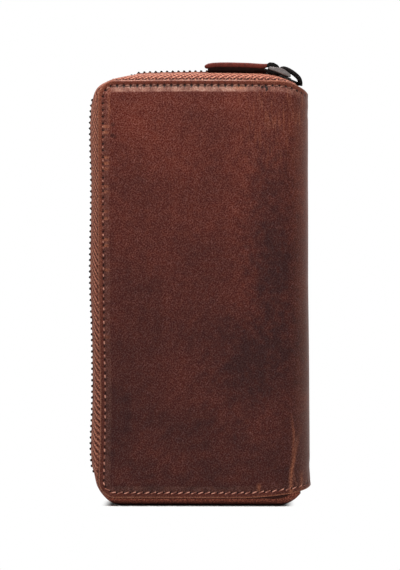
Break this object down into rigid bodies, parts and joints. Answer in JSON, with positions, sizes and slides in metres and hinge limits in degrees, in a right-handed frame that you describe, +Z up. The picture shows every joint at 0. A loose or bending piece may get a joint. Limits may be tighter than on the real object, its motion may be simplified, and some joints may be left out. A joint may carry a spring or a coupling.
{
  "type": "long zip-around wallet",
  "caption": "Long zip-around wallet in waxed brown leather with a metal zip on three sides, leather pull, card pockets, two bill compartments and a middle coin pocket with its own small zip.",
  "frame": {"origin": "middle of the bottom, on the surface that the wallet stands on", "axes": "+Z up the length of the wallet, the front panel faces -Y, the spine is at +X and the zip opens at -X"},
  "size_m": [0.0994, 0.026, 0.2012],
  "materials": {
    "cover_leather": "waxed pull-up leather, mottled and rubbed",
    "pocket_leather": "thin matt leather",
    "strap_leather": "waxed leather, folded double",
    "board": "grey-brown paper board",
    "lining": "plain woven cloth",
    "zip_tape": "herringbone woven tape",
    "zip_metal": "black nickel plate"
  },
  "bodies": {
    "back_half": {"back_cover": "cover_leather", "back_stiffener": "board", "back_lining": "lining", "back_card_pocket_1": "pocket_leather", "back_card_pocket_2": "pocket_leather", "back_card_pocket_3": "pocket_leather", "back_zip_tape": "zip_tape", "back_zip_chain": "zip_metal", "zip_end_stop": "zip_metal", "back_top_gusset": "pocket_leather", "back_bottom_gusset": "pocket_leather"},
    "spine": {"spine_cover": "cover_leather", "spine_lining": "lining", "coin_pocket_front_wall": "pocket_leather", "coin_pocket_back_wall": "pocket_leather", "coin_pocket_binding": "lining", "coin_zip_front_tape": "zip_tape", "coin_zip_back_tape": "zip_tape", "coin_zip_front_chain": "zip_metal", "coin_zip_back_chain": "zip_metal", "front_top_gusset": "pocket_leather", "front_bottom_gusset": "pocket_leather"},
    "front_half": {"front_cover": "cover_leather", "front_stiffener": "board", "front_lining": "lining", "front_card_pocket_1": "pocket_leather", "front_card_pocket_2": "pocket_leather", "front_card_pocket_3": "pocket_leather", "front_zip_tape": "zip_tape", "front_zip_chain": "zip_metal"},
    "slider": {"slider_body": "zip_metal", "slider_crown": "zip_metal"},
    "pull_link": {"pull_link": "zip_metal"},
    "pull_strap": {"pull_strap": "strap_leather"},
    "coin_slider": {"coin_slider_body": "zip_metal", "coin_slider_crown": "zip_metal"},
    "coin_pull": {"coin_pull": "zip_metal"}
  },
  "joints": [
    {"name": "back_fold", "type": "hinge", "parent": "back_half", "child": "spine", "pos_m": [0.0367, 0.013, 0.0983], "axis": [0, 0, 1], "range_deg": [0, 30], "deforming": ["back_top_gusset", "back_bottom_gusset"]},
    {"name": "front_fold", "type": "hinge", "parent": "spine", "child": "front_half", "pos_m": [0.0367, -0.013, 0.0983], "axis": [0, 0, 1], "range_deg": [0, 30], "deforming": ["front_top_gusset", "front_bottom_gusset", "front_zip_tape", "front_zip_chain"]},
    {"name": "slider_travel", "type": "hinge", "parent": "back_half", "child": "slider", "pos_m": [0, 0, -0.0633], "axis": [0, -1, 0], "range_deg": [0, 15.5], "deforming": ["front_zip_chain", "back_zip_chain"]},
    {"name": "link_swing", "type": "hinge", "parent": "slider", "child": "pull_link", "pos_m": [0.04119, 0, 0.19635], "axis": [0, 1, 0], "range_deg": [0, 110]},
    {"name": "strap_swing", "type": "hinge", "parent": "pull_link", "child": "pull_strap", "pos_m": [0.03197, 0, 0.199], "axis": [0, 1, 0], "range_deg": [0, 75]},
    {"name": "coin_slider_travel", "type": "slide", "parent": "spine", "child": "coin_slider", "axis": [0, 0, -1], "range_m": [0, 0.15], "deforming": ["coin_zip_front_chain", "coin_zip_back_chain"]},
    {"name": "coin_pull_swing", "type": "hinge", "parent": "coin_slider", "child": "coin_pull", "pos_m": [-0.0403, 0, 0.1742], "axis": [0, 1, 0], "range_deg": [0, 90]}
  ],
  "couplings": [
    {"joint": "front_fold", "follows": "back_fold", "ratio": 1}
  ]
}
